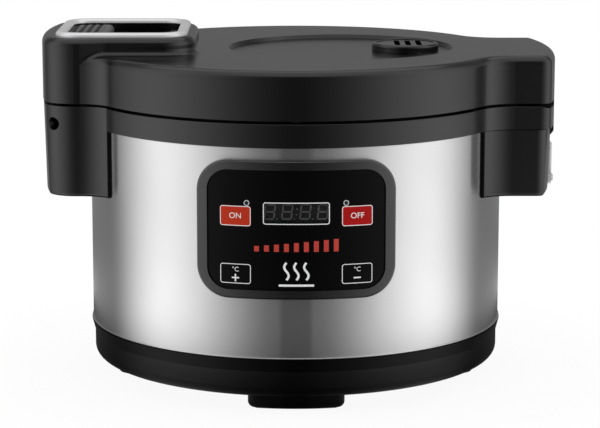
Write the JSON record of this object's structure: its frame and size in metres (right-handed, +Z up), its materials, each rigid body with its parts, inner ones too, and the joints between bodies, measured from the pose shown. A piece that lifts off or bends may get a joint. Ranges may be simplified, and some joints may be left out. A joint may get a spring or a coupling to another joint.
{
  "type": "electric rice warmer pot",
  "caption": "Drum-shaped electric warming pot with steel sides, hinged latching lid, steam vent, dew cup and digital control panel.",
  "frame": {"origin": "drum axis on the floor, under the middle of the base", "axes": "+Z up; +X from the latch handle towards the lid hinge; -Y towards the control panel"},
  "size_m": [0.4965, 0.4125, 0.339],
  "materials": {
    "black_plastic": "fine-grained black moulding",
    "drum_steel": "brushed, vertical sheen",
    "foot_rubber": "matt",
    "bright_trim": "bright satin plating",
    "button_grey": "grey moulding",
    "panel_black": "gloss",
    "key_red": "red print under clear film",
    "key_black": "gloss",
    "display_clear": "smoked clear",
    "dew_clear": "frosted clear",
    "lens_clear": "clear",
    "zinc_steel": "zinc plated",
    "spring_steel": "drawn wire",
    "pot_aluminium": "spun",
    "cast_aluminium": "cast",
    "sheet_aluminium": "satin",
    "silicone": "translucent white",
    "glass_wool": "felted",
    "heater_mica": "mica band",
    "circuit_board": "green laminate",
    "component_black": "moulded",
    "brass_pins": "plated"
  },
  "bodies": {
    "body": {"base_shell": "black_plastic", "bottom_plate": "zinc_steel", "base_screws": "zinc_steel", "foot_front": "black_plastic", "foot_right": "black_plastic", "foot_back": "black_plastic", "foot_left": "black_plastic", "foot_pads": "foot_rubber", "outer_drum": "drum_steel", "rim_ring": "black_plastic", "latch_housing": "black_plastic", "latch_striker": "zinc_steel", "ear_screws": "zinc_steel", "hinge_housing": "black_plastic", "hinge_pin": "zinc_steel", "hinge_spring": "spring_steel", "inner_pot": "pot_aluminium", "liner": "sheet_aluminium", "heating_plate": "cast_aluminium", "side_heater": "heater_mica", "insulation_sleeve": "glass_wool", "thermal_fuse": "component_black", "sensor_holder": "zinc_steel", "sensor_spring": "spring_steel", "control_bezel": "black_plastic", "control_panel": "panel_black", "display_window": "display_clear", "display_module": "component_black", "indicator_lenses": "lens_clear", "control_board": "circuit_board", "tact_switches": "component_black", "power_board": "circuit_board", "board_posts": "component_black", "power_parts": "component_black", "power_inlet": "component_black", "inlet_pins": "brass_pins"},
    "sensor": {"sensor_cap": "sheet_aluminium"},
    "lid": {"lid_cover": "black_plastic", "lid_base": "black_plastic", "lid_screws": "zinc_steel", "handle_trim": "bright_trim", "lid_insulation": "glass_wool", "lid_gasket": "silicone", "inner_lid": "sheet_aluminium", "inner_lid_seal": "silicone", "inner_lid_knob": "silicone", "vent_tube": "black_plastic", "button_springs": "spring_steel", "hook_pin": "zinc_steel"},
    "latch_button": {"latch_button": "button_grey"},
    "latch_hook": {"latch_hook": "component_black"},
    "vent_cap": {"vent_cap": "black_plastic"},
    "dew_cup": {"dew_cup": "dew_clear"},
    "start_key": {"start_key": "key_red"},
    "cancel_key": {"cancel_key": "key_red"},
    "temp_up_key": {"temp_up_key": "key_black"},
    "temp_down_key": {"temp_down_key": "key_black"}
  },
  "joints": [
    {"name": "lid_hinge", "type": "hinge", "parent": "body", "child": "lid", "pos_m": [0.2355, 0, 0.248], "axis": [0, 1, 0], "range_deg": [0, 90], "deforming": ["hinge_spring"]},
    {"name": "latch_button_press", "type": "slide", "parent": "lid", "child": "latch_button", "axis": [0, 0, -1], "range_m": [0, 0.004], "stiffness_N_per_m": 600, "springref_m": -0.004, "deforming": ["button_springs"]},
    {"name": "latch_hook_swing", "type": "hinge", "parent": "lid", "child": "latch_hook", "pos_m": [-0.226, 0, 0.298], "axis": [0, 1, 0], "range_deg": [0, 11.4]},
    {"name": "vent_cap_lift", "type": "slide", "parent": "lid", "child": "vent_cap", "axis": [0, 0, 1], "range_m": [0, 0.03]},
    {"name": "dew_cup_pull", "type": "slide", "parent": "body", "child": "dew_cup", "axis": [1, 0, 0], "range_m": [0, 0.045]},
    {"name": "start_key_press", "type": "slide", "parent": "body", "child": "start_key", "axis": [0.2689, 0.9632, 0], "range_m": [0, 0.0008], "stiffness_N_per_m": 400, "springref_m": -0.0012},
    {"name": "cancel_key_press", "type": "slide", "parent": "body", "child": "cancel_key", "axis": [-0.2689, 0.9632, 0], "range_m": [0, 0.0008], "stiffness_N_per_m": 400, "springref_m": -0.0012},
    {"name": "temp_up_key_press", "type": "slide", "parent": "body", "child": "temp_up_key", "axis": [0.2689, 0.9632, 0], "range_m": [0, 0.0008], "stiffness_N_per_m": 400, "springref_m": -0.0012},
    {"name": "temp_down_key_press", "type": "slide", "parent": "body", "child": "temp_down_key", "axis": [-0.2689, 0.9632, 0], "range_m": [0, 0.0008], "stiffness_N_per_m": 400, "springref_m": -0.0012},
    {"name": "sensor_plunge", "type": "slide", "parent": "body", "child": "sensor", "axis": [0, 0, 1], "range_m": [-0.003, 0], "stiffness_N_per_m": 300, "springref_m": 0.006, "deforming": ["sensor_spring"]}
  ],
  "couplings": [
    {"joint": "latch_hook_swing", "follows": "latch_button_press", "rad_per_m": 48.9}
  ]
}
